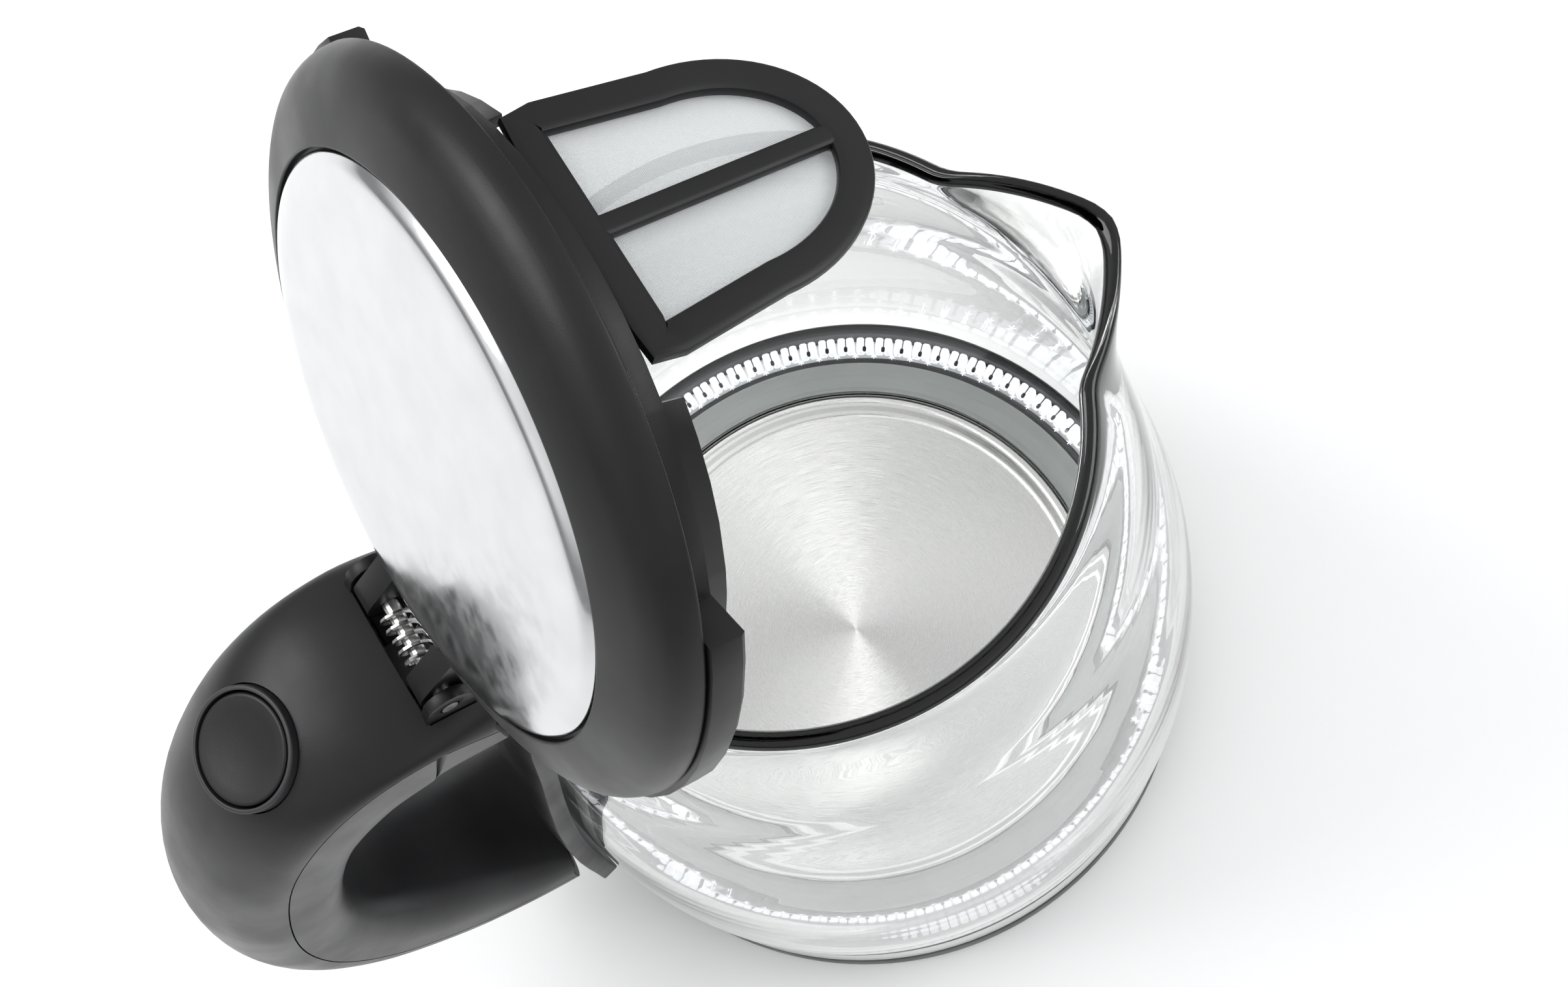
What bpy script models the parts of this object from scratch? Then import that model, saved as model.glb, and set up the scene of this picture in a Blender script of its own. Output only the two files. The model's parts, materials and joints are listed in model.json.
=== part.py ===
"""Electric kettle: glass jug on a 360 degree power base, lid standing open.

World frame: metres, +Z up, origin at the centre of the power base's underside,
spout toward +X, handle toward -X, symmetric about the XZ plane.
The lid is modelled closed and turned open about its hinge by an empty.
"""
import math

import bmesh
import bpy
from mathutils import Matrix, Vector

MM = 0.001

# ---------------------------------------------------------------- driving sizes (mm)
GAP = 0.3                    # clearance between pieces that touch
BASE_R = 80.0                # outside radius of the power base and the steel band
JUG_BELLY_R = BASE_R + 1.6   # widest glass radius
RIM_R = BASE_R - 20.7        # outside radius of the glass at the rim
RIM_Z = 206.0                # height of the rim
GLASS_WALL = 3.6
GLASS_FOOT_Z = 31.5          # underside of the glass
GLASS_CORNER_R = 14.5        # outer round between foot and wall
SPOUT_REACH = 15.2           # how far the lip stands out at the rim
SPOUT_HALF_DEG = 25.0
SPOUT_DEPTH = 44.0           # how far down the wall the spout starts

FOOT_H = 1.2                 # rubber feet, level with the centre pad
BASE_DECK_Z = 12.5           # top of the power base
BAND_Z0 = 13.6               # underside of the jug's base
BAND_Z1 = 30.0               # top of the steel band
PLATE_RIM_R = BASE_R - 20.0
PLATE_R = PLATE_RIM_R - 3.8  # flat of the heating plate
PLATE_Z = 30.0               # its top face
PLATE_T = 0.8
HUB_R = 14.0                 # male connector
SOCKET_WALL = 5.4
LIGHT_R0, LIGHT_R1 = BASE_R - 7.7, BASE_R - 2.4
LIGHT_Z0 = 21.8
LIGHT_Z1 = 28.8

LID_R = RIM_R + 2.7          # outside radius of the lid's cover
BAND_R = RIM_R + 3.6         # lower band at the sides of the lid
LID_FLOOR_R = RIM_R - 5.5    # lower shell where there is no band
BAND_FROM_DEG, BAND_TO_DEG = 62.0, 162.0
SKIRT_FROM_DEG = 30.0        # the skirt is open at the front for the filter
LID_Z0 = RIM_Z + 0.6         # underside of the lid's band, closed
LID_SEAM_Z = RIM_Z + 6.5
LID_TOP_Z = RIM_Z + 17.0     # edge of the steel panel
PANEL_R = RIM_R - 11.3
PANEL_FLAT_R = PANEL_R - 6.0
SKIRT_R = RIM_R - 8.9        # plug skirt that reaches into the jug
SKIRT_DEPTH = 4.8
HINGE_X, HINGE_Z = -(RIM_R + 16.2), RIM_Z + 11.8
LID_OPEN_DEG = 67.3

FILTER_X = RIM_R - 10.0      # plane of the spout filter, lid closed
FILTER_W = 22.5              # half width at the lid
FILTER_TAPER = 2.5           # each side's lean inward toward the tip
FILTER_LEN = 48.5
FILTER_BAR = 5.5
FILTER_T = 2.4

HANDLE_WALL = 2.4
BUTTON_R = 10.3
BUTTON_TRAVEL = 3.0
BUTTON_X, BUTTON_Z = -(RIM_R + 52.2), RIM_Z + 6.6
BUTTON_TILT_DEG = 27.0
FORK_HALF = 15.4             # half width of the fork that holds the lid's pin
PIN_R = 1.6
PIN_BORE = 1.9

ROUND = 48                   # facets round the large turned pieces
FINE = 36
SMALL = 16


# ---------------------------------------------------------------- helpers
def clear_scene():
    for obj in list(bpy.data.objects):
        bpy.data.objects.remove(obj, do_unlink=True)


def material(name, colour, rough, metal=0.0, alpha=1.0, transmission=0.0):
    mat = bpy.data.materials.get(name)
    if mat:
        return mat
    mat = bpy.data.materials.new(name)
    mat.use_nodes = True
    bsdf = mat.node_tree.nodes["Principled BSDF"]
    bsdf.inputs["Base Color"].default_value = (*colour, 1.0)
    bsdf.inputs["Roughness"].default_value = rough
    bsdf.inputs["Metallic"].default_value = metal
    bsdf.inputs["Alpha"].default_value = alpha
    bsdf.inputs["Transmission Weight"].default_value = transmission
    return mat


def black():
    return material("black_plastic", (0.02, 0.02, 0.022), 0.38)


def grey():
    return material("grey_plastic", (0.06, 0.06, 0.065), 0.45)


def white_plastic():
    return material("white_plastic", (0.75, 0.75, 0.72), 0.5)


def steel():
    return material("brushed_steel", (0.62, 0.62, 0.61), 0.3, 1.0)


def polished():
    return material("polished_steel", (0.75, 0.75, 0.75), 0.08, 1.0)


def aluminium():
    return material("aluminium", (0.7, 0.7, 0.71), 0.45, 1.0)


def brass():
    return material("brass", (0.72, 0.5, 0.22), 0.3, 1.0)


def glass():
    return material("clear_glass", (0.95, 0.97, 0.96), 0.02, 0.0, 0.35, 1.0)


def clear_plastic():
    return material("clear_plastic", (0.93, 0.95, 0.96), 0.05, 0.0, 0.5, 1.0)


def silicone():
    return material("silicone", (0.62, 0.65, 0.62), 0.5)


def rubber():
    return material("rubber", (0.03, 0.03, 0.03), 0.8)


def mesh_fabric():
    return material("filter_gauze", (0.78, 0.8, 0.8), 0.5, 0.0, 0.6)


def finish(name, bm, mat, smooth_deg=35.0):
    """Turn a closed bmesh in mm into a named object in metres."""
    bmesh.ops.remove_doubles(bm, verts=bm.verts, dist=1e-4)
    bmesh.ops.recalc_face_normals(bm, faces=bm.faces)
    bmesh.ops.scale(bm, verts=bm.verts, vec=(MM, MM, MM))
    mesh = bpy.data.meshes.new(name)
    bm.to_mesh(mesh)
    bm.free()
    mesh.shade_smooth()
    mesh.set_sharp_from_angle(angle=math.radians(smooth_deg))
    mesh.materials.append(mat)
    obj = bpy.data.objects.new(name, mesh)
    bpy.context.collection.objects.link(obj)
    return obj


def full_turn(count):
    return [math.tau * i / count for i in range(count)]


def ring_place(r, z, angle):
    return Vector((r * math.cos(angle), r * math.sin(angle), z))


def turned(name, profile, mat, count=ROUND, angles=None, place=ring_place, closed_turn=True):
    """Turn a closed (r, z) outline round Z. Outline points on the axis become one vertex."""
    angles = angles or full_turn(count)
    bm = bmesh.new()
    rings = [[bm.verts.new(place(r, z, a)) for r, z in profile] for a in angles]
    n = len(profile)
    spans = len(rings) if closed_turn else len(rings) - 1
    for i in range(spans):
        here, after = rings[i], rings[(i + 1) % len(rings)]
        for j in range(n):
            k = (j + 1) % n
            if profile[j][0] < 1e-6 and profile[k][0] < 1e-6:
                continue
            bm.faces.new((here[j], here[k], after[k], after[j]))
    if not closed_turn:
        bm.faces.new(rings[0])
        bm.faces.new(list(reversed(rings[-1])))
    return finish(name, bm, mat)


def prism(name, outline, half_y, mat, y0=None):
    """Extrude an (x, z) outline across Y."""
    low, high = (-half_y, half_y) if y0 is None else (y0, half_y)
    bm = bmesh.new()
    face = bm.faces.new([bm.verts.new((x, low, z)) for x, z in outline])
    out = bmesh.ops.extrude_face_region(bm, geom=[face])
    moved = [v for v in out["geom"] if isinstance(v, bmesh.types.BMVert)]
    bmesh.ops.translate(bm, verts=moved, vec=(0, high - low, 0))
    return finish(name, bm, mat)


def block(name, low, high, mat):
    (x0, y0, z0), (x1, y1, z1) = low, high
    return prism(name, [(x0, z0), (x1, z0), (x1, z1), (x0, z1)], y1, mat, y0)


def cylinder(name, radius, start, end, mat, count=SMALL):
    """Solid round bar between two points in mm."""
    start, end = Vector(start), Vector(end)
    along = end - start
    turn = along.to_track_quat("Z", "Y").to_matrix().to_4x4()
    bm = bmesh.new()
    bmesh.ops.create_cone(bm, cap_ends=True, segments=count, radius1=radius, radius2=radius,
                          depth=along.length, matrix=Matrix.Translation((start + end) / 2) @ turn)
    return finish(name, bm, mat)


def sweep(name, sections, mat, closed_path=False):
    """Skin a list of point loops into one closed body."""
    bm = bmesh.new()
    loops = [[bm.verts.new(p) for p in loop] for loop in sections]
    n = len(loops[0])
    spans = len(loops) if closed_path else len(loops) - 1
    for i in range(spans):
        here, after = loops[i], loops[(i + 1) % len(loops)]
        for j in range(n):
            k = (j + 1) % n
            bm.faces.new((here[j], here[k], after[k], after[j]))
    if not closed_path:
        bm.faces.new(loops[0])
        bm.faces.new(list(reversed(loops[-1])))
    return finish(name, bm, mat)


def tube(name, points, radius, mat, sides=8):
    """Round wire along a list of points."""
    points = [Vector(p) for p in points]
    sections = []
    side = None
    for i, p in enumerate(points):
        ahead = points[min(i + 1, len(points) - 1)] - points[max(i - 1, 0)]
        ahead.normalize()
        if side is None:
            side = ahead.orthogonal().normalized()
        side = (side - ahead * side.dot(ahead)).normalized()
        up = ahead.cross(side)
        sections.append([p + radius * (math.cos(a) * side + math.sin(a) * up) for a in full_turn(sides)])
    return sweep(name, sections, mat)


def cut(obj, tool):
    """Subtract a closed tool and leave it hidden as a guide."""
    mod = obj.modifiers.new("cut_" + tool.name, "BOOLEAN")
    mod.operation = "DIFFERENCE"
    mod.solver = "EXACT"
    mod.object = tool
    tool.hide_render = True
    tool.display_type = "WIRE"


def join(obj, tool):
    """Union a second closed body into a piece."""
    mod = obj.modifiers.new("join_" + tool.name, "BOOLEAN")
    mod.operation = "UNION"
    mod.solver = "EXACT"
    mod.object = tool
    tool.hide_render = True
    tool.display_type = "WIRE"


def arc(cx, cz, r, start, end, steps):
    """Points of an arc in (x, z), angles in degrees."""
    spread = [start + (end - start) * i / steps for i in range(steps + 1)]
    return [(cx + r * math.cos(math.radians(a)), cz + r * math.sin(math.radians(a))) for a in spread]


def through(points, steps):
    """Smooth curve through tuples of numbers, steps per span."""
    out = []
    for i in range(len(points) - 1):
        p = [points[max(min(i + d, len(points) - 1), 0)] for d in (-1, 0, 1, 2)]
        for s in range(steps):
            t = s / steps
            out.append(tuple(
                0.5 * (2 * b + (c - a) * t + (2 * a - 5 * b + 4 * c - d) * t * t
                       + (3 * b - a - 3 * c + d) * t ** 3)
                for a, b, c, d in zip(*p)))
    out.append(tuple(points[-1]))
    return out


def soft_min(a, b, k):
    h = min(max(0.5 + 0.5 * (b - a) / k, 0.0), 1.0)
    return b + (a - b) * h - k * h * (1.0 - h)


# ---------------------------------------------------------------- glass outline
BELLY_Z = 58.0               # widest point of the glass
SHOULDER_Z = 180.0           # above this, tabled heights keep their distance from the rim
DRAWN_RIM_Z = 206.0          # rim height that the tabled heights below were drawn for
DRAWN_BASE_R = 80.0          # base radius that the handle's seam was drawn for


def lift(z):
    """Move a tabled height with the rim: fixed below the belly, whole near the top, stretched between."""
    rise = RIM_Z - DRAWN_RIM_Z
    share = (z - BELLY_Z) / (SHOULDER_Z - BELLY_Z)
    return z + rise * min(max(share, 0.0), 1.0)


def glass_profile():
    """Outer side of the jug from the foot's corner up to the rim, as (r, z)."""
    cr = GLASS_CORNER_R
    cx, cz = JUG_BELLY_R - 0.1 - cr, GLASS_FOOT_Z + cr
    corner = arc(cx, cz, cr, -90, 0, 5)
    belly = JUG_BELLY_R
    rise = [corner[-1], (belly, BELLY_Z), (belly - 1.4, lift(88)), (belly - 4.6, lift(112)),
            (belly - 9.0, lift(138)), (RIM_R + 9.4, lift(165)), (RIM_R + 4.4, lift(186)),
            (RIM_R + 1.4, RIM_Z - 6), (RIM_R, RIM_Z)]
    return corner[:-1] + rise


def glass_radius(z):
    line = glass_profile()
    for (r0, z0), (r1, z1) in zip(line, line[1:]):
        if z0 <= z <= z1:
            return r0 + (r1 - r0) * (z - z0) / (z1 - z0)
    return RIM_R


def spout_share(angle):
    """0 to 1: how much of the spout's reach is used at this angle round the jug."""
    off = abs(math.degrees(math.atan2(math.sin(angle), math.cos(angle)))) / SPOUT_HALF_DEG
    if off >= 1.2:
        return 0.0
    side = -soft_min(-1.08 * (1.0 - off), 0.0, 0.12)
    return max(soft_min(side, 1.0, 0.12), 0.0)


def spout_place(r, z, angle):
    """Ring point pushed out into the pulled spout near the rim."""
    rise = min(max((z - (RIM_Z - SPOUT_DEPTH)) / SPOUT_DEPTH, 0.0), 1.0)
    reach = SPOUT_REACH * spout_share(angle) * rise ** 1.7
    return ring_place(r + reach, z, angle)


def spout_angles():
    """Even steps round the back, finer steps across the spout."""
    fine_half = math.radians(SPOUT_HALF_DEG + 3.0)
    fine = [-fine_half + 2 * fine_half * i / 12 for i in range(12)]
    rest = 38
    return fine + [fine_half + (math.tau - 2 * fine_half) * i / rest for i in range(rest)]


# ---------------------------------------------------------------- power base
HUB_TOP_Z = 19.6
HUB_CUP_R = 10.9
FOOT_CIRCLE_R = BASE_R - 18.0
BASE_SCREW_R = 38.0


def upright(x, y):
    """Place function for a small turned piece that stands at (x, y)."""
    return lambda r, z, angle: Vector((x, y, 0)) + ring_place(r, z, angle)


def power_base():
    wall = 2.2
    shoulder = arc(BASE_R - 4, BASE_DECK_Z - 4, 4, 90, 0, 4)
    deck = [(HUB_R + GAP, BASE_DECK_Z), *shoulder,
            (BASE_R, FOOT_H + 0.6), (BASE_R - wall, FOOT_H + 0.6), (BASE_R - wall, BASE_DECK_Z - wall - 2),
            (BASE_R - wall - 2, BASE_DECK_Z - wall), (HUB_R + GAP, BASE_DECK_Z - wall)]
    top = turned("power_base_top", list(reversed(deck)), black())
    notch = block("notch_gland", (-6 - GAP, BASE_R - 12, -1), (6 + GAP, BASE_R + 5, 9 + GAP), black())
    cut(top, notch)
    floor_r = BASE_R - wall - GAP
    floor = [(0, 0), (12, 0), (12, FOOT_H), (floor_r, FOOT_H), (floor_r, FOOT_H + 1.8), (0, FOOT_H + 1.8)]
    bottom = turned("power_base_bottom", floor, black(), FINE)
    cut(bottom, block("notch_floor", (-6 - GAP, BASE_R - 12, -1), (6 + GAP, BASE_R + 5, 9), black()))
    hub = [(4, FOOT_H + 1.8 + GAP), (HUB_R, FOOT_H + 1.8 + GAP), (HUB_R, HUB_TOP_Z), (HUB_CUP_R, HUB_TOP_Z),
           (HUB_CUP_R, BASE_DECK_Z), (4, BASE_DECK_Z)]
    turned("base_connector", hub, black(), FINE)
    turned("contact_ring", [(7.4, BASE_DECK_Z + GAP), (9.2, BASE_DECK_Z + GAP), (9.2, HUB_TOP_Z - 1.5),
                            (7.4, HUB_TOP_Z - 1.5)], brass(), 24)
    pin = [(0, 6), (2.2, 6), (2.2, HUB_TOP_Z - 1), (1.2, HUB_TOP_Z), (0, HUB_TOP_Z)]
    turned("contact_pin", pin, brass(), SMALL)
    gland = block("cord_gland", (-6, BASE_R - 11.5, FOOT_H + 0.8), (6, BASE_R + 1.2, 9), grey())
    cut(gland, cylinder("gland_bore", 3.2, (0, BASE_R - 14, 5.4), (0, BASE_R + 3, 5.4), grey()))
    for i in range(4):
        a = math.radians(45 + 90 * i)
        x, y = FOOT_CIRCLE_R * math.cos(a), FOOT_CIRCLE_R * math.sin(a)
        cylinder(f"foot_{i + 1}", 7, (x, y, 0), (x, y, FOOT_H - GAP), rubber())
    for i in range(3):
        a = math.radians(84 + 120 * i)
        x, y = BASE_SCREW_R * math.cos(a), BASE_SCREW_R * math.sin(a)
        bore = cylinder(f"base_bore_{i + 1}", 1.9, (x, y, -1), (x, y, 5), black(), 10)
        cut(bottom, bore)
        screw(f"power_base_screw_{i + 1}", (x, y, FOOT_H - 1.0), 9.0)


def screw(name, place, length, head_r=3.0, shank_r=1.6):
    """Pan screw pointing up: head below, shank along +Z."""
    x, y, z = place
    seat, top = z + 0.7, z + length
    outline = [(0, z), (head_r, z), (head_r, seat), (shank_r, seat), (shank_r, top), (0, top)]
    return turned(name, outline, steel(), 10, place=upright(x, y))


def screw_bore(name, place, length, head_depth):
    """Cutter for a screw: counterbore below, clearance hole above."""
    x, y, z = place
    low, seat, top = z - 2, z + head_depth, z + length
    outline = [(0, low), (3.5, low), (3.5, seat), (1.9, seat), (1.9, top), (0, top)]
    return turned(name, outline, black(), 10, place=upright(x, y))


# ---------------------------------------------------------------- base of the jug
SOCKET_R = HUB_R + 0.6 + SOCKET_WALL
SOCKET_TOP_Z = 22.0
COVER_T = 1.8
CARRIER_R0, CARRIER_R1 = PLATE_RIM_R + 2.0, BASE_R - 10.5
GASKET_R1 = CARRIER_R1 - 0.5
HEATER_R = PLATE_R - 18.2
CARRIER_Z0, CARRIER_Z1 = BAND_Z0 + COVER_T + 0.4, 29.4


def jug_base():
    cavity_z = HUB_TOP_Z + 0.9
    bore = HUB_R + 0.6
    socket = [(3.4, cavity_z), (bore, cavity_z), (bore, BAND_Z0), (SOCKET_R, BAND_Z0),
              (SOCKET_R, SOCKET_TOP_Z), (3.4, SOCKET_TOP_Z)]
    turned("kettle_socket", socket, black(), FINE)
    inner = SOCKET_R + 0.4
    wall_r = BASE_R - 0.9 - 0.5
    cover_z, rise_z, floor_z = 21.4, 20.0, BAND_Z0 + COVER_T
    dish = [(inner, BAND_Z0), (wall_r - 1, BAND_Z0), (wall_r, BAND_Z0 + 1), (wall_r, cover_z),
            (wall_r - COVER_T, cover_z), (wall_r - COVER_T, floor_z), (inner + 1.6, floor_z),
            (inner + 1.6, rise_z), (inner, rise_z)]
    cover = turned("base_cover", dish, black(), 48)
    block_section = [(CARRIER_R0, CARRIER_Z0), (CARRIER_R1, CARRIER_Z0), (CARRIER_R1, CARRIER_Z1),
                     (CARRIER_R0, CARRIER_Z1)]
    carrier = turned("base_carrier", block_section, black(), 48)
    mid = (CARRIER_R0 + CARRIER_R1) / 2
    for i in range(3):
        a = math.radians(30 + 120 * i)
        place = (mid * math.cos(a), mid * math.sin(a), BAND_Z0 - 0.1)
        bore = screw_bore(f"screw_bore_{i + 1}", place, 10.5, 1.0)
        cut(cover, bore)
        cut(carrier, bore)
        screw(f"base_screw_{i + 1}", place, 9.5)
    trim_z0, edge, inside = BAND_Z0 + 0.1, BASE_R - 0.3, BASE_R - 0.9
    trim = [(inside, trim_z0), (edge, trim_z0), (BASE_R, trim_z0 + 0.6), (BASE_R, BAND_Z1 - 0.5),
            (edge, BAND_Z1), (inside, BAND_Z1)]
    turned("base_trim", trim, polished())
    seat = BAND_Z1 + GAP
    seal = [(BASE_R - 2, LIGHT_Z0), (BASE_R - 1.2, LIGHT_Z0), (BASE_R - 1.2, seat), (BASE_R + 0.3, seat),
            (BASE_R + 0.3, seat + 3.2), (BASE_R - 0.4, seat + 4.1), (BASE_R - 2, seat + 4.1)]
    turned("base_seal_ring", seal, black())
    chamfer = 0.5
    light = [(LIGHT_R0, LIGHT_Z0), (LIGHT_R1, LIGHT_Z0), (LIGHT_R1, LIGHT_Z1 - chamfer),
             (LIGHT_R1 - chamfer, LIGHT_Z1), (LIGHT_R0 + chamfer, LIGHT_Z1), (LIGHT_R0, LIGHT_Z1 - chamfer)]
    turned("light_ring", light, clear_plastic())
    board_r0, board_r1, board_z = LIGHT_R0 - 2.1, wall_r - 2.2, LIGHT_Z0 - 0.5
    board = [(board_r0, board_z - 1.5), (board_r1, board_z - 1.5), (board_r1, board_z), (board_r0, board_z)]
    turned("led_board", board, white_plastic(), 48)
    gasket_r0, gasket_z0, gasket_z1 = PLATE_RIM_R + 0.4, CARRIER_Z1 + GAP, GLASS_FOOT_Z - GAP
    gasket = [(gasket_r0, gasket_z0), (GASKET_R1, gasket_z0), (GASKET_R1, gasket_z1), (gasket_r0, gasket_z1)]
    turned("plate_gasket", gasket, silicone(), 48)
    low, rim = PLATE_Z - PLATE_T, PLATE_RIM_R
    hem_z, under = PLATE_Z - 4.5, PLATE_Z + 1.4
    pressed = [(0, low), (PLATE_R + 0.2, low), (PLATE_R + 2.2, under), (rim - PLATE_T, under),
               (rim - PLATE_T, hem_z), (rim, hem_z), (rim, PLATE_Z + 2.0), (rim - 0.4, PLATE_Z + 2.4),
               (PLATE_R + 1.8, PLATE_Z + 2.2), (PLATE_R - 0.2, PLATE_Z), (0, PLATE_Z)]
    turned("heating_plate", pressed, steel(), 48)
    spreader_z = low - GAP - 2.0
    disc_r = PLATE_R - 6.2
    disc = [(0, spreader_z), (disc_r, spreader_z), (disc_r, low - GAP), (0, low - GAP)]
    turned("heat_spreader", disc, aluminium(), FINE)
    bar = 3.3
    bar_z = spreader_z - GAP - bar
    spots = [math.radians(25 + 310 * i / 30) for i in range(31)]
    ring = [ring_place(HEATER_R, bar_z, angle) for angle in spots]
    tube("heating_element", ring, bar, aluminium(), 8)
    control_r, control_z0, control_z1 = 17.0, SOCKET_TOP_Z + GAP, spreader_z - 0.5
    control = [(0, control_z0), (control_r, control_z0), (control_r, control_z1 - 1.2),
               (control_r - 1.2, control_z1), (0, control_z1)]
    turned("thermostat_control", control, white_plastic(), 24)


# ---------------------------------------------------------------- glass jug
def glass_jug():
    outer = glass_profile()
    wall = GLASS_WALL
    cr = GLASS_CORNER_R
    cx, cz = JUG_BELLY_R - 0.1 - cr, GLASS_FOOT_Z + cr
    inside_corner = arc(cx, cz, cr - wall, 0, -90, 4)
    inside_wall = [(r - wall, z) for r, z in outer if z > cz + 1]
    mouth = PLATE_RIM_R + 0.5
    rim = [(RIM_R - 0.7, RIM_Z + 0.25), (RIM_R - wall + 0.7, RIM_Z + 0.25)]
    outline = [(mouth, GLASS_FOOT_Z), *outer, *rim, *reversed(inside_wall), *inside_corner,
               (mouth, GLASS_FOOT_Z + wall - 0.5)]
    turned("glass_jug", outline, glass(), angles=spout_angles(), place=spout_place)


# ---------------------------------------------------------------- handle
# Seam line in the XZ plane with, at each point, the cover's height outward, the grip's depth inward
# and the half width: (x, z, out, in, half)
HANDLE_SEAM = [
    (-71.5, 205.0, 11.5, 16.5, 20.5),
    (-83.0, 211.8, 6.4, 25.0, 20.5),
    (-97.0, 211.0, 7.0, 27.0, 20.3),
    (-110.0, 202.0, 10.0, 24.0, 20.0),
    (-122.0, 184.0, 13.0, 19.0, 19.5),
    (-131.0, 158.0, 15.0, 15.5, 19.5),
    (-136.0, 130.0, 15.0, 14.0, 19.0),
    (-135.0, 105.0, 14.0, 15.0, 19.0),
    (-127.0, 82.0, 14.5, 16.0, 19.0),
    (-112.5, 64.0, 17.0, 15.0, 19.0),
    (-99.0, 55.0, 19.5, 11.5, 19.0),
    (-88.4, 50.5, 19.0, 9.0, 19.0),
]
SPINE_HALF_DEG = 13.0


def handle_stations():
    """Seam points with outward normals: (x, z, nx, nz, out, in, half)."""
    outward = BASE_R - DRAWN_BASE_R
    line = through([(x - outward, lift(z), *sizes) for x, z, *sizes in HANDLE_SEAM], 2)
    out = []
    for i, (x, z, a, b, w) in enumerate(line):
        before, after = line[max(i - 1, 0)], line[min(i + 1, len(line) - 1)]
        tx, tz = after[0] - before[0], after[1] - before[1]
        size = math.hypot(tx, tz)
        nx, nz = tz / size, -tx / size
        if i == 0:
            nx, nz = 0.0, 1.0
        if i == len(line) - 1:
            nx, nz = 0.0, -1.0
        out.append((x, z, nx, nz, a, b, w))
    return out


def channel(half, depth, wall, power, gap, steps=10):
    """C-shaped section as (y, n): a shell bulging along +n, open toward n = 0."""
    def bow(w, d):
        pts = []
        for i in range(steps + 1):
            a = math.pi * i / steps
            c, s = math.cos(a), math.sin(a)
            pts.append((w * math.copysign(abs(c) ** power, c), gap + (d - gap) * abs(s) ** power))
        return pts
    return bow(half, depth) + list(reversed(bow(half - wall, depth - wall)))


def handle():
    cover, grip = [], []
    half_gap = GAP / 2
    for x, z, nx, nz, rise, depth, half in handle_stations():
        dome = channel(half, rise, HANDLE_WALL, 1.0, half_gap)
        fist = channel(half, depth, HANDLE_WALL, 0.55, half_gap)
        cover.append([Vector((x + nx * n, y, z + nz * n)) for y, n in dome])
        grip.append([Vector((x - nx * n, y, z - nz * n)) for y, n in fist])
    cover = sweep("handle_cover", cover, black())
    sweep("handle_grip", grip, grey())
    tilt = button_frame()
    hole_r = BUTTON_R + 1.6
    hole = turned("button_hole", [(0, -12), (hole_r, -12), (hole_r, 14), (0, 14)], black(), 24)
    hang([hole], tilt)
    cut(cover, hole)
    slot_x0, slot_x1 = -(BASE_R + 36), -(BASE_R + 13)
    cut(cover, block("lever_slot", (slot_x0, -7.6, 18), (slot_x1, 7.6, 44), black()))
    notch_x0, notch_x1 = -(RIM_R + 23.7), -(RIM_R + 0.7)
    notch_half = FORK_HALF + 0.6
    notch_low, notch_high = (notch_x0, -notch_half, RIM_Z - 16), (notch_x1, notch_half, RIM_Z + 24)
    cut(cover, block("fork_notch", notch_low, notch_high, black()))
    spine()
    hinge_bracket()
    inner = [(x + nx * 5.0, 0, z + nz * 5.0) for x, z, nx, nz, *_ in handle_stations()[8:19]]
    tube("steam_tube", inner, 3.0, white_plastic(), 8)


def spine():
    """Curved strip that follows the glass from the seal ring up to the hinge."""
    half = math.radians(SPINE_HALF_DEG)
    tabled = [31.0, 36.0, 42.0, 50.0, 62.0, 80.0, 100.0, 120.0, 140.0, 160.0, 178.0]
    heights = [lift(z) for z in tabled] + [RIM_Z - 10.5]
    inner = [(max(glass_radius(z), JUG_BELLY_R - 0.2 if z < BELLY_Z else 0) + 1.4, z) for z in heights]
    outer = [(r + 4.4, z) for r, z in reversed(inner)]
    angles = [math.pi - half + 2 * half * i / 6 for i in range(7)]
    turned("handle_spine", inner + outer, black(), angles=angles, closed_turn=False)
    pad_z = [lift(z) for z in (150.0, 160.0, 170.0, 180.0)]
    pad = [(glass_radius(z) + 0.35, z) for z in pad_z]
    pad += [(r + 0.7, z) for r, z in reversed(pad)]
    pad_angles = [math.pi - half * 0.8 + 1.6 * half * i / 4 for i in range(5)]
    turned("bond_pad", pad, silicone(), angles=pad_angles, closed_turn=False)


def hinge_bracket():
    """Fork on top of the spine that carries the lid's pin."""
    front, back, foot_z = -(RIM_R + 5.2), -(RIM_R + 22.7), RIM_Z - 10.0
    ear = arc(HINGE_X, HINGE_Z, 4.4, 10, 150, 6)
    outline = [(front, foot_z), (front, RIM_Z + 0.5), *ear, (back, RIM_Z + 7.0), (back, foot_z)]
    fork = prism("hinge_bracket", outline, FORK_HALF, black())
    slot_half = FORK_HALF - 2.2
    slot_low = (HINGE_X - 24.5, -slot_half, RIM_Z - 7.6)
    slot_high = (HINGE_X + 25.5, slot_half, RIM_Z + 34)
    cut(fork, block("fork_slot", slot_low, slot_high, black()))
    cut(fork, cylinder("fork_bore", PIN_BORE, (HINGE_X, -30, HINGE_Z), (HINGE_X, 30, HINGE_Z), black(), 20))
    cylinder("hinge_pin", PIN_R, (HINGE_X, -FORK_HALF, HINGE_Z), (HINGE_X, FORK_HALF, HINGE_Z), steel(), 14)


def button_frame():
    """Empty on the button's axis, local +Z out of the handle."""
    return empty("button_axis", (BUTTON_X, 0, BUTTON_Z), -BUTTON_TILT_DEG)


def empty(name, place, turn_y_deg=0.0):
    obj = bpy.data.objects.get(name)
    if obj:
        return obj
    obj = bpy.data.objects.new(name, None)
    obj.location = [v * MM for v in place]
    obj.rotation_euler = (0, math.radians(turn_y_deg), 0)
    bpy.context.collection.objects.link(obj)
    return obj


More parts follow.
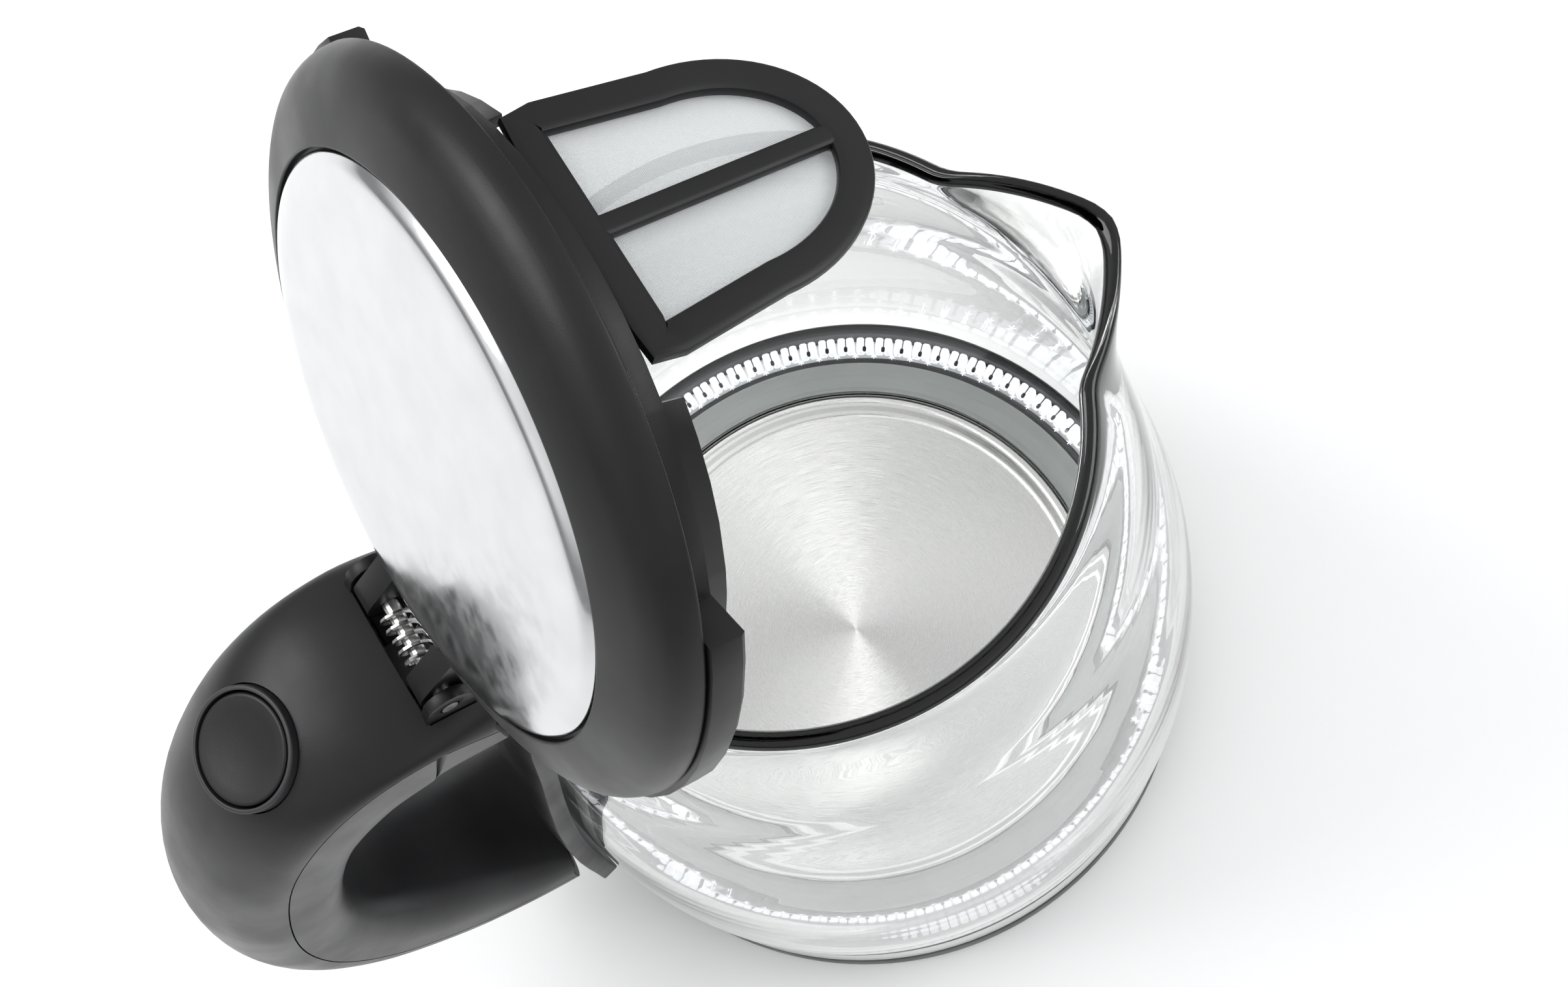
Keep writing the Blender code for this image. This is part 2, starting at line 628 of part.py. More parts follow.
def hang(objects, parent, modelled_in_place=False):
    """Parent pieces to an empty. Pieces modelled in world place first move back to its origin."""
    for obj in objects:
        obj.parent = parent
        if modelled_in_place:
            obj.matrix_parent_inverse = Matrix.Translation(-parent.location)


def button():
    wall = BUTTON_R + 1.3
    bore = BUTTON_R + 0.4
    collar = [(bore, 0.9), (bore, -7.8), (3.6, -7.8), (3.6, -9), (wall, -9), (wall, 0.5), (wall - 0.4, 0.9)]
    housing = turned("button_housing", collar, polished(), 28)
    cap = turned("lid_button", [(0, -11.4), (3, -11.4), (3, -3.6), (BUTTON_R, -3.6), (BUTTON_R, 0.2),
                                (BUTTON_R - 0.8, 0.9), (BUTTON_R - 4, 0.4), (0, 0.0)], black(), 28)
    turns, coil_r = 4, BUTTON_R - 3.7
    path = []
    for i in range(turns * 12 + 1):
        a = math.tau * i / 12
        path.append((coil_r * math.cos(a), coil_r * math.sin(a), -7.2 + 3.0 * i / (turns * 12)))
    spring = tube("button_spring", path, 0.28, steel(), 5)
    hang([housing, cap, spring], button_frame())


def latch():
    """Sliding bolt from under the button to the lid's catch."""
    nose, knee, tail = -(RIM_R + 6.5), -(RIM_R + 30.7), -(RIM_R + 48.7)
    top, low = RIM_Z, RIM_Z - 8.8
    thick = 2.8
    outline = [(nose, top - thick), (nose, top), (knee, top), (knee - 7, low), (tail, low), (tail, low - 3),
               (knee - 5, low - 3), (knee + 1.5, top - thick)]
    bolt = prism("latch_slider", outline, 4.5, grey())
    hang([bolt], empty("latch_axis", (knee + 4, 0, RIM_Z - 2)), True)


def switch():
    """Rocker that pokes out of a slot under the handle's foot."""
    pivot_x, pivot_z = -(BASE_R + 21), 44
    shape = [(2.5, 3), (-2.5, 3), (-6, -10), (-12.4, -15.5), (-12.4, -18.4), (-4, -17.6), (0, -12)]
    outline = [(pivot_x + x, pivot_z + z) for x, z in shape]
    lever = prism("switch_lever", outline, 6.8, grey())
    hang([lever], empty("switch_axis", (pivot_x, 0, pivot_z)), True)


# ---------------------------------------------------------------- lid, modelled closed
def lid_place(r, z, angle):
    """Ring point of the lower shell: side bands only between two angles, no skirt at the front."""
    off = abs(math.degrees(math.atan2(math.sin(angle), math.cos(angle))))
    if r > LID_FLOOR_R and not BAND_FROM_DEG < off < BAND_TO_DEG:
        r = LID_FLOOR_R
    if z < LID_Z0 and off < SKIRT_FROM_DEG:
        z = LID_Z0 - 0.2
    return ring_place(r, z, angle)


def lid_angles():
    """Even steps, with a pair of close steps wherever the lower shell changes outline."""
    edges = [SKIRT_FROM_DEG, BAND_FROM_DEG, BAND_TO_DEG]
    edges += [360 - edge for edge in edges]
    steps = [edge + side for edge in edges for side in (-0.4, 0.4)]
    steps += [7.5 * i for i in range(48) if min(abs(7.5 * i - edge) for edge in edges) > 2.5]
    return [math.radians(a) for a in sorted(steps)]


def lid_shells():
    seat = LID_TOP_Z - 1.6
    edge = LID_SEAM_Z
    ledge_r = PANEL_R - 4
    shoulder = [(LID_R, edge + GAP), (LID_R - 0.4, edge + 2.9), (LID_R - 1.8, edge + 5.3),
                (LID_R - 4.6, edge + 7.3), (LID_R - 8.4, edge + 8.9), (PANEL_R + 0.6, LID_TOP_Z)]
    under = [(PANEL_R + 0.6, seat), (ledge_r, seat), (ledge_r, seat - 1.6), (ledge_r + 6, seat - 1.8),
             (LID_R - 4.4, edge + 4.4), (LID_R - 2.6, edge + GAP)]
    cover = turned("lid_cover", shoulder + under, black())
    wall = LID_FLOOR_R - 2.2
    band = [(BAND_R - 0.6, LID_Z0), (BAND_R, LID_Z0 + 0.8), (BAND_R, LID_SEAM_Z), (wall, LID_SEAM_Z),
            (wall, LID_Z0 + 2.0), (0, LID_Z0 + 2.0), (0, LID_Z0), (SKIRT_R - 1.8, LID_Z0),
            (SKIRT_R - 1.8, LID_Z0 - SKIRT_DEPTH), (SKIRT_R, LID_Z0 - SKIRT_DEPTH), (SKIRT_R, LID_Z0)]
    base = turned("lid_base", list(reversed(band)), grey(), angles=lid_angles(), place=lid_place)
    knuckle = arc(HINGE_X, HINGE_Z, 4.3, 250, 60, 8)
    root = -(LID_FLOOR_R - 1.6)
    inner_x = -(RIM_R + 3.7)
    arm = [(root, LID_Z0 + 0.7), (inner_x + 2, LID_Z0 + 0.7), *knuckle, (inner_x - 0.6, HINGE_Z - 0.3),
           (inner_x, LID_SEAM_Z - 0.4), (root, LID_SEAM_Z - 0.4)]
    tools = []
    for side, (y0, y1) in enumerate(((-12.4, -7), (7, 12.4))):
        knuckle_arm = prism(f"hinge_arm_{side}", arm, y1, grey(), y0)
        join(base, knuckle_arm)
        tools.append(knuckle_arm)
    bore = cylinder("knuckle_bore", PIN_BORE, (HINGE_X, -30, HINGE_Z), (HINGE_X, 30, HINGE_Z), grey(), 20)
    cut(base, bore)
    return [cover, base, bore, *tools]


def lid_fittings():
    top = LID_TOP_Z + 2.0
    edge, sheet = LID_TOP_Z, 0.8
    pressed = [(PANEL_R - sheet, edge - 1.2), (PANEL_R, edge - 1.2), (PANEL_R, edge),
               (PANEL_R - sheet, edge + 0.6), (PANEL_FLAT_R, top), (0, top), (0, top - sheet),
               (PANEL_FLAT_R - 0.2, top - sheet), (PANEL_R - 1.0, edge - 0.2)]
    panel = turned("lid_panel", pressed, steel(), 48)
    start, stop = math.radians(82), math.radians(278)
    part_turn = [start + (stop - start) * i / 24 for i in range(25)]
    gasket_z = LID_Z0 - 3.6
    gasket = turned("lid_gasket", [(SKIRT_R + GAP, gasket_z), (SKIRT_R + 2.4, gasket_z + 1.0),
                                   (SKIRT_R + 2.4, gasket_z + 2.0), (SKIRT_R + GAP, gasket_z + 3)],
                    silicone(), angles=part_turn, closed_turn=False)
    root = -(LID_FLOOR_R + GAP)
    back, front = -(RIM_R + 5.9), -(RIM_R + 4.6)
    top_z, bend_z, tip_z = RIM_Z + 5.4, RIM_Z + 2.0, RIM_Z - 2.8
    hook = [(root, bend_z), (root, top_z), (back, top_z), (back, tip_z), (front, tip_z), (front, bend_z)]
    catch = prism("lid_catch", hook, 4.0, steel())
    coil = []
    for i in range(5 * 12 + 1):
        a = math.tau * i / 12
        coil.append((HINGE_X + 2.9 * math.cos(a), -5.6 + 11.2 * i / 60, HINGE_Z + 2.9 * math.sin(a)))
    tube("lid_spring", coil, 0.45, steel(), 5)
    clip_low = (FILTER_X - 6.5, -8, RIM_Z - 5.5)
    clip_high = (FILTER_X - FILTER_T / 2 - 1.1, 8, LID_Z0 - 0.3)
    clip = block("filter_clip", clip_low, clip_high, black())
    return [panel, gasket, catch, clip]


def filter_outline(inset, low_half=0.0, side=0):
    """D outline in (y, z): straight top part, elliptical tip. side picks one half beside the rib."""
    wide, w, top = FILTER_W - inset, FILTER_W - FILTER_TAPER - inset, LID_Z0 - 0.4 - inset
    mid = LID_Z0 - 0.4 - FILTER_LEN + FILTER_W * 1.1
    drop = FILTER_W * 1.1 - inset
    bow = [(w * math.cos(a), mid - drop * math.sin(a)) for a in (math.pi * i / 14 for i in range(15))]
    if side == 0:
        return [(-wide, top), *reversed(bow), (wide, top)]
    half = [(y, z) for y, z in bow if y > low_half + 0.5]
    foot = mid - drop * math.sqrt(max(1 - (low_half / w) ** 2, 0))
    points = [(low_half, foot), *reversed(half), (wide, top), (low_half, top)]
    return [(side * y, z) for y, z in points]


def plate_yz(name, outline, x0, x1, mat):
    bm = bmesh.new()
    face = bm.faces.new([bm.verts.new((x0, y, z)) for y, z in outline])
    out = bmesh.ops.extrude_face_region(bm, geom=[face])
    moved = [v for v in out["geom"] if isinstance(v, bmesh.types.BMVert)]
    bmesh.ops.translate(bm, verts=moved, vec=(x1 - x0, 0, 0))
    return finish(name, bm, mat)


def spout_filter():
    half_t = FILTER_T / 2
    frame = plate_yz("filter_frame", filter_outline(0), FILTER_X - half_t, FILTER_X + half_t, black())
    tools = []
    for side in (-1, 1):
        window = plate_yz(f"filter_window_{side + 1}", filter_outline(FILTER_BAR, 2.0, side), FILTER_X - 9,
                          FILTER_X + 9, black())
        cut(frame, window)
        tools.append(window)
    back = FILTER_X - half_t
    gauze = plate_yz("filter_mesh", filter_outline(2.0), back - 0.8, back - GAP, mesh_fabric())
    return [frame, gauze], tools


def lid():
    hinge = empty("lid_hinge", (HINGE_X, 0, HINGE_Z), -LID_OPEN_DEG)
    hang(lid_shells() + lid_fittings(), hinge, True)
    slide = empty("filter_slide", (FILTER_X - HINGE_X, 0, LID_Z0 - HINGE_Z))
    slide.parent = hinge
    strainer, windows = spout_filter()
    for piece in strainer + windows:
        piece.parent = slide
        piece.matrix_parent_inverse = Matrix.Translation(Vector((-FILTER_X, 0, -LID_Z0)) * MM)


def main():
    clear_scene()
    power_base()
    jug_base()
    glass_jug()
    handle()
    button()
    latch()
    switch()
    lid()


main()
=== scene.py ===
# %% [markdown]
# # A glass electric kettle, its lid standing open
# The frame holds every piece of the kettle at its true place and size, in metres: spout
# towards +X, handle towards -X, standing on Z = 0. This lesson dresses that frame. Pieces whose
# shape shows are modelled again with finer curves, and every piece gets a finish made of nodes.

# %% Load the frame
import json
import math

import bmesh
import bpy
from mathutils import Matrix, Vector

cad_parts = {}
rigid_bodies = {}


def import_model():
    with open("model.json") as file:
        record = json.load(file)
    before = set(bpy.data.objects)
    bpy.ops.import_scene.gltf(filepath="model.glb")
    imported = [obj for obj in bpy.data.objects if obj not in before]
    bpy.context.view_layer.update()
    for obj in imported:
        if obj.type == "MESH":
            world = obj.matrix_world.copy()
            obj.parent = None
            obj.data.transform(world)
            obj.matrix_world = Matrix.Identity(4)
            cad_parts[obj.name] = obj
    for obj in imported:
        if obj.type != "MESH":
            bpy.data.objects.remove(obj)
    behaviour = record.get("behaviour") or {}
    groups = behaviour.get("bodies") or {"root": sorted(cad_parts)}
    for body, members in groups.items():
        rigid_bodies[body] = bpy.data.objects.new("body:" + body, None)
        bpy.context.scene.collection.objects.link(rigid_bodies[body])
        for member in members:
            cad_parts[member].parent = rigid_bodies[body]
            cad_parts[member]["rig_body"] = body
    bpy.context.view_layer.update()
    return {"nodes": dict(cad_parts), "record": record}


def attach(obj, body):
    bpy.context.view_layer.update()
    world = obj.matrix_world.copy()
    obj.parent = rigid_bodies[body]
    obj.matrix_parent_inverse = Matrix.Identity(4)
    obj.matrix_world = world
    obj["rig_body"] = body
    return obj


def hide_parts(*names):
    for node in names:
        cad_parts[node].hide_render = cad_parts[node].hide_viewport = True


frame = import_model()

MM = 0.001

# %% [markdown]
# ## Camera
# The kettle is seen from nearly straight above, leaning a little towards the maker, with a
# long lens so that the tall jug hardly tapers. The directions below are the camera's right,
# up and ahead. A rotation matrix holds right, up and backward in its columns, so ahead is negated.

# %% Place the camera
EYE = Vector((-0.02641, -0.14250, 0.65815))
RIGHT = Vector((0.84552, -0.52219, -0.11146))
UP = Vector((0.53202, 0.80617, 0.25893))
AHEAD = Vector((0.04535, 0.27823, -0.95944))
lens = bpy.data.cameras.new("kettle_camera")
lens.lens = 59.38
lens.sensor_width = 36.0
lens.clip_start = 0.01
camera = bpy.data.objects.new("kettle_camera", lens)
bpy.context.scene.collection.objects.link(camera)
turn = Matrix((RIGHT, UP, -AHEAD)).transposed().to_4x4()
camera.matrix_world = Matrix.Translation(EYE) @ turn
bpy.context.scene.camera = camera
bpy.context.scene.view_settings.view_transform = "Standard"
print("camera at", [round(v, 3) for v in EYE])

# %% [markdown]
# ## Studio
# Clear glass and polished steel have no look of their own: they show the room. A white tent
# would make them vanish, so the tent is brighter at its two sides and greyer in front and
# behind. That gives the glass its dark edges and the brushed plate its pale and grey wedges.

# %% Build the tent, the lamp and the floor
def node(tree, kind, **settings):
    made = tree.nodes.new(kind)
    for key, value in settings.items():
        setattr(made, key, value)
    return made


def sum_of(tree, operation, first, second=None):
    """A Math node; each side is a socket or a number."""
    made = node(tree, "ShaderNodeMath", operation=operation)
    for slot, value in enumerate((first, second)):
        if value is None:
            continue
        if isinstance(value, (int, float)):
            made.inputs[slot].default_value = value
        else:
            tree.links.new(value, made.inputs[slot])
    return made.outputs[0]


def spread(tree, value, low, high, out_low, out_high):
    """Map a value from one range to another with soft ends."""
    made = node(tree, "ShaderNodeMapRange", interpolation_type="SMOOTHSTEP")
    tree.links.new(value, made.inputs["Value"])
    made.inputs["From Min"].default_value = low
    made.inputs["From Max"].default_value = high
    made.inputs["To Min"].default_value = out_low
    made.inputs["To Max"].default_value = out_high
    return made.outputs[0]


SIDE = Vector((0.851, -0.525, 0.0))
TENT_DIMMEST = 0.36


def build_tent():
    world = bpy.data.worlds.new("studio_tent")
    bpy.context.scene.world = world
    world.use_nodes = True
    tree = world.node_tree
    sky = tree.nodes["Background"]
    way = node(tree, "ShaderNodeTexCoord").outputs["Generated"]
    across = node(tree, "ShaderNodeVectorMath", operation="DOT_PRODUCT")
    across.inputs[1].default_value = SIDE
    tree.links.new(way, across.inputs[0])
    split = node(tree, "ShaderNodeSeparateXYZ")
    tree.links.new(way, split.inputs[0])
    sideways = sum_of(tree, "ABSOLUTE", across.outputs["Value"])
    sides = spread(tree, sideways, 0.15, 0.75, 0.50, 0.82)
    above = spread(tree, split.outputs["Z"], 0.05, 0.40, 0.0, 1.0)
    light = sum_of(tree, "ADD", sum_of(tree, "MULTIPLY", sides, above), TENT_DIMMEST)
    tree.links.new(light, sky.inputs["Strength"])
    sky.inputs["Color"].default_value = (0.985, 0.992, 1.0, 1.0)


def softbox(name, place, size, watts):
    lamp = bpy.data.lights.new(name, "AREA")
    lamp.shape = "DISK"
    lamp.size = size
    lamp.energy = watts
    rig = bpy.data.objects.new(name, lamp)
    rig.location = place
    rig.rotation_euler = (-Vector(place)).to_track_quat("-Z", "Y").to_euler()
    bpy.context.scene.collection.objects.link(rig)


build_tent()
softbox("key_softbox", (-0.75, 0.55, 1.15), 0.9, 9.0)
softbox("side_softbox", (0.9, -0.3, 0.9), 0.6, 3.0)


def studio_floor():
    bm = bmesh.new()
    bmesh.ops.create_circle(bm, cap_ends=True, segments=96, radius=3.0)
    mesh = bpy.data.meshes.new("studio_floor")
    bm.to_mesh(mesh)
    bm.free()
    floor = bpy.data.objects.new("studio_floor", mesh)
    bpy.context.scene.collection.objects.link(floor)
    paper = bpy.data.materials.new("white_paper")
    paper.use_nodes = True
    skin = paper.node_tree.nodes["Principled BSDF"]
    skin.inputs["Base Color"].default_value = (0.93, 0.93, 0.93, 1.0)
    skin.inputs["Roughness"].default_value = 0.85
    skin.inputs["Specular IOR Level"].default_value = 0.2
    mesh.materials.append(paper)


studio_floor()
print("tent, two softboxes and a paper floor")

# %% [markdown]
# ## Moulded plastics
# The handle and lid are black polypropylene from a spark-eroded mould: a fine even grain that
# breaks the gloss up into soft grey. A noise of about a fifth of a millimetre drives the bump, and a
# slow, wide noise shifts the roughness, as handling and wiping do.

# %% Finishes for plastics and rubber
def blank(name, colour, rough, metal=0.0):
    mat = bpy.data.materials.new(name)
    mat.use_nodes = True
    skin = mat.node_tree.nodes["Principled BSDF"]
    skin.inputs["Base Color"].default_value = (*colour, 1.0)
    skin.inputs["Roughness"].default_value = rough
    skin.inputs["Metallic"].default_value = metal
    return mat, mat.node_tree, skin


def noise(tree, scale, detail=3.0, vector=None):
    made = node(tree, "ShaderNodeTexNoise")
    made.inputs["Scale"].default_value = scale
    made.inputs["Detail"].default_value = detail
    source = vector or node(tree, "ShaderNodeTexCoord").outputs["Object"]
    tree.links.new(source, made.inputs["Vector"])
    return made.outputs[0]


def blend_colours(tree, skin, share, dark, pale):
    ramp = node(tree, "ShaderNodeValToRGB")
    ramp.color_ramp.elements[0].position = 0.3
    ramp.color_ramp.elements[0].color = (*dark, 1.0)
    ramp.color_ramp.elements[1].position = 0.7
    ramp.color_ramp.elements[1].color = (*pale, 1.0)
    tree.links.new(share, ramp.inputs[0])
    tree.links.new(ramp.outputs[0], skin.inputs["Base Color"])


def emboss(tree, skin, height, depth, strength):
    bump = node(tree, "ShaderNodeBump")
    bump.inputs["Distance"].default_value = depth
    bump.inputs["Strength"].default_value = strength
    tree.links.new(height, bump.inputs["Height"])
    tree.links.new(bump.outputs[0], skin.inputs["Normal"])


def moulded(name, dark, pale, rough, grain=5200.0, depth=0.00004, gloss=0.5):
    """Moulded plastic: two near colours, uneven gloss and a fine grain."""
    mat, tree, skin = blank(name, dark, rough)
    skin.inputs["Specular IOR Level"].default_value = gloss
    blend_colours(tree, skin, noise(tree, 45.0), dark, pale)
    uneven = spread(tree, noise(tree, 60.0, 5.0), 0.3, 0.7, rough - 0.05, rough + 0.06)
    tree.links.new(uneven, skin.inputs["Roughness"])
    emboss(tree, skin, noise(tree, grain, 2.0), depth, 0.35)
    return mat


BLACK = moulded("black_plastic", (0.006, 0.006, 0.0065), (0.010, 0.010, 0.011), 0.37,
                gloss=0.3)
GREY = moulded("grey_plastic", (0.018, 0.018, 0.0195), (0.026, 0.026, 0.028), 0.42,
               gloss=0.4)
WHITE = moulded("white_plastic", (0.68, 0.68, 0.66), (0.78, 0.78, 0.76), 0.45)
RUBBER = moulded("rubber", (0.018, 0.018, 0.018), (0.035, 0.035, 0.035), 0.78, 2400.0,
                 0.0001)
SILICONE = moulded("silicone", (0.78, 0.82, 0.80), (0.86, 0.89, 0.875), 0.42, 1800.0)
print("plastics:", [m.name for m in (BLACK, GREY, WHITE, RUBBER, SILICONE)])

# %% [markdown]
# ## Metals
# The boiling plate is spun against an abrasive pad, so its scratches are circles. Noise read
# by distance from the axis, with a little of the angle mixed in, draws them as long broken arcs.
# Anisotropic gloss stretches each highlight across the scratches, and that is what makes the
# wedges. Polished trim gets almost no scratch, only a faint unevenness.

# %% Finishes for metals
def ring_marks(tree, fineness, arcs):
    """A vector that makes noise run in circles round Z."""
    place = node(tree, "ShaderNodeTexCoord").outputs["Object"]
    split = node(tree, "ShaderNodeSeparateXYZ")
    tree.links.new(place, split.inputs[0])
    x, y = split.outputs["X"], split.outputs["Y"]
    x_squared, y_squared = sum_of(tree, "MULTIPLY", x, x), sum_of(tree, "MULTIPLY", y, y)
    squares = sum_of(tree, "ADD", x_squared, y_squared)
    radius = sum_of(tree, "SQRT", squares)
    angle = sum_of(tree, "ARCTAN2", y, x)
    join = node(tree, "ShaderNodeCombineXYZ")
    tree.links.new(sum_of(tree, "MULTIPLY", radius, fineness), join.inputs[0])
    tree.links.new(sum_of(tree, "MULTIPLY", angle, arcs), join.inputs[1])
    return join.outputs[0]


def brushed(name, dark, pale, rough, anisotropy):
    mat, tree, skin = blank(name, pale, rough, 1.0)
    marks = noise(tree, 1.0, 4.0, ring_marks(tree, 9000.0, 5.0))
    blend_colours(tree, skin, marks, dark, pale)
    uneven = spread(tree, marks, 0.3, 0.7, rough - 0.05, rough + 0.07)
    tree.links.new(uneven, skin.inputs["Roughness"])
    emboss(tree, skin, marks, 0.00001, 0.25)
    skin.inputs["Anisotropic"].default_value = anisotropy
    if anisotropy:
        around = node(tree, "ShaderNodeTangent", direction_type="RADIAL", axis="Z")
        tree.links.new(around.outputs[0], skin.inputs["Tangent"])
    return mat


def metal(name, dark, pale, rough, scratch=900.0, depth=0.000006):
    mat, tree, skin = blank(name, pale, rough, 1.0)
    blend_colours(tree, skin, noise(tree, 120.0, 4.0), dark, pale)
    uneven = spread(tree, noise(tree, 260.0, 5.0), 0.3, 0.7, rough * 0.75, rough * 1.3)
    tree.links.new(uneven, skin.inputs["Roughness"])
    emboss(tree, skin, noise(tree, scratch, 3.0), depth, 0.2)
    return mat


PLATE_STEEL = brushed("plate_steel", (0.83, 0.825, 0.81), (0.90, 0.895, 0.885), 0.26, 0.85)
STEEL = metal("brushed_steel", (0.56, 0.56, 0.55), (0.68, 0.68, 0.67), 0.3, 2200.0, 0.00002)
POLISHED = metal("polished_steel", (0.72, 0.72, 0.71), (0.82, 0.82, 0.81), 0.09)
ALUMINIUM = metal("aluminium", (0.62, 0.62, 0.63), (0.74, 0.74, 0.75), 0.42, 1500.0, 0.00005)
BRASS = metal("brass", (0.62, 0.42, 0.18), (0.76, 0.54, 0.26), 0.28)
PANEL_STEEL = metal("lid_panel_steel", (0.58, 0.585, 0.59), (0.63, 0.635, 0.64), 0.13,
                    1700.0, 0.000008)
print("metals ready")

# %% [markdown]
# ## Glass and clear plastic
# The jug is blown glass, so its wall is never quite flat: a very slow, shallow bump bends what is
# seen through it. Its faint green shows only where the wall is seen end on. The cut cells of the
# light ring let less through and carry a painted glow, as if lit from below. The gauze of the filter
# is a nylon weave, drawn by two crossed waves that set where light gets through.

# %% Finishes for clear pieces and the gauze
def clear(name, tint, bend_scale, bend_depth, rough=0.0, ior=1.47):
    mat, tree, skin = blank(name, tint, rough)
    skin.inputs["Transmission Weight"].default_value = 1.0
    skin.inputs["IOR"].default_value = ior
    emboss(tree, skin, noise(tree, bend_scale, 1.0), bend_depth, 0.3)
    return mat


def woven(name, colour, pitch, tilt):
    """A plain weave seen flat on: threads both ways, and light between them."""
    mat, tree, skin = blank(name, colour, 0.5)
    turned_back = node(tree, "ShaderNodeMapping")
    turned_back.inputs["Rotation"].default_value = (0.0, tilt, 0.0)
    tree.links.new(node(tree, "ShaderNodeTexCoord").outputs["Object"], turned_back.inputs["Vector"])
    split = node(tree, "ShaderNodeSeparateXYZ")
    tree.links.new(turned_back.outputs[0], split.inputs[0])
    waves = []
    for side in ("Y", "Z"):
        phase = sum_of(tree, "MULTIPLY", split.outputs[side], math.tau / pitch)
        wave = sum_of(tree, "SINE", phase)
        waves.append(sum_of(tree, "ABSOLUTE", wave))
    thread = sum_of(tree, "MAXIMUM", waves[0], waves[1])
    tree.links.new(spread(tree, thread, 0.55, 0.95, 0.4, 0.8), skin.inputs["Alpha"])
    emboss(tree, skin, thread, 0.0001, 0.5)
    return mat


LID_TURN = math.radians(67.3)
GLASS = clear("glass", (0.985, 0.995, 0.99), 22.0, 0.00015)
CRYSTAL = clear("clear_plastic", (0.98, 0.985, 0.99), 900.0, 0.0001, 0.02, 1.49)
CRYSTAL_WITH_PAINTED_GLOW = clear("cut_crystal_painted_glow", (0.97, 0.975, 0.985), 700.0, 0.0002, 0.08, 1.4)
painted_glow_skin = CRYSTAL_WITH_PAINTED_GLOW.node_tree.nodes["Principled BSDF"]
painted_glow_skin.inputs["Transmission Weight"].default_value = 0.45
# The emission is a painted glow: the cells shine as if lit by the lamps below, which are not modelled.
painted_glow_skin.inputs["Emission Color"].default_value = (0.93, 0.95, 1.0, 1.0)
painted_glow_skin.inputs["Emission Strength"].default_value = 0.38
GAUZE = woven("gauze", (0.66, 0.68, 0.69), 0.0005, LID_TURN)
FINISHES = {
    "black_plastic": BLACK, "grey_plastic": GREY, "white_plastic": WHITE, "rubber": RUBBER,
    "silicone": SILICONE, "brushed_steel": STEEL, "polished_steel": POLISHED, "aluminium": ALUMINIUM,
    "brass": BRASS, "glass": GLASS, "clear_plastic": CRYSTAL, "gauze": GAUZE,
}
print("finishes:", len(FINISHES))

# %% [markdown]
# ## Turning on a lathe
# Most of the kettle is round. One closed outline of radius and height, spun round Z, makes each
# such piece. Every corner of an outline may carry its own small radius, because a moulded or
# pressed edge is never sharp and the bright line along it is what makes it look real.

# %% Helpers: outlines and spinning
HINGE = Vector((-75.5, 0.0, 217.8)) * MM
OPEN_LID = (Matrix.Translation(HINGE) @ Matrix.Rotation(-LID_TURN, 4, "Y")
            @ Matrix.Translation(-HINGE))


def soften(outline, closed=True, steps=4):
    """Round every corner that carries a third number, its radius in mm."""
    out = []
    for i, corner in enumerate(outline):
        here = Vector(corner[:2])
        radius = corner[2] if len(corner) > 2 else 0.0
        if not radius or (not closed and i in (0, len(outline) - 1)):
            out.append(here)
            continue
        before = Vector(outline[i - 1][:2]) - here
        after = Vector(outline[(i + 1) % len(outline)][:2]) - here
        reach = min(radius, before.length * 0.49, after.length * 0.49)
        start = here + before.normalized() * reach
        end = here + after.normalized() * reach
        for s in range(steps + 1):
            t = s / steps
            out.append(start * (1 - t) ** 2 + here * 2 * t * (1 - t) + end * t * t)
    return out


def mesh_from(name, bm, place):
    """Merge a bmesh in millimetres, face it outwards, and make it a mesh in metres."""
    bmesh.ops.remove_doubles(bm, verts=bm.verts, dist=1e-4)
    bmesh.ops.dissolve_degenerate(bm, edges=bm.edges, dist=1e-5)
    bmesh.ops.recalc_face_normals(bm, faces=bm.faces)
    bmesh.ops.scale(bm, verts=bm.verts, vec=(MM, MM, MM))
    if place is not None:
        bmesh.ops.transform(bm, matrix=place, verts=bm.verts)
    mesh = bpy.data.meshes.new(name)
    bm.to_mesh(mesh)
    bm.free()
    return mesh


def settle(name, bm, mat, body, replaced=(), place=None, smooth=32.0):
    """Turn a bmesh in millimetres into a finished piece that rides on a body."""
    mesh = mesh_from(name, bm, place)
    mesh.shade_smooth()
    mesh.set_sharp_from_angle(angle=math.radians(smooth))
    mesh.materials.append(mat)
    piece = bpy.data.objects.new(name, mesh)
    bpy.context.scene.collection.objects.link(piece)
    if replaced:
        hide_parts(*replaced)
    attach(piece, body)
    print(name, len(mesh.polygons), "faces")
    return piece


def spun(outline, closed=True, steps=144):
    """Spin a wire outline of (radius, height) round Z."""
    bm = bmesh.new()
    wire = [bm.verts.new((r, 0.0, z)) for r, z in outline]
    pairs = list(zip(wire, wire[1:]))
    if closed:
        pairs.append((wire[-1], wire[0]))
    edges = [bm.edges.new(pair) for pair in pairs]
    bmesh.ops.spin(bm, geom=wire + edges, axis=(0, 0, 1), cent=(0, 0, 0), steps=steps,
                   angle=math.tau, use_merge=True, use_duplicate=False)
    return bm


def ring_of(bm, copies):
    """Repeat everything in the bmesh round Z."""
    everything = bm.verts[:] + bm.edges[:] + bm.faces[:]
    bmesh.ops.spin(bm, geom=everything, axis=(0, 0, 1), cent=(0, 0, 0), steps=copies - 1,
                   angle=math.tau * (copies - 1) / copies, use_duplicate=True)
    return bm

# %% [markdown]
# ## Power base and the metal band
# The power base is a low black dish. On it stands the jug's foot: a black seal ring, a polished
# steel band and, inside, the pressed boiling plate with its rolled rim.

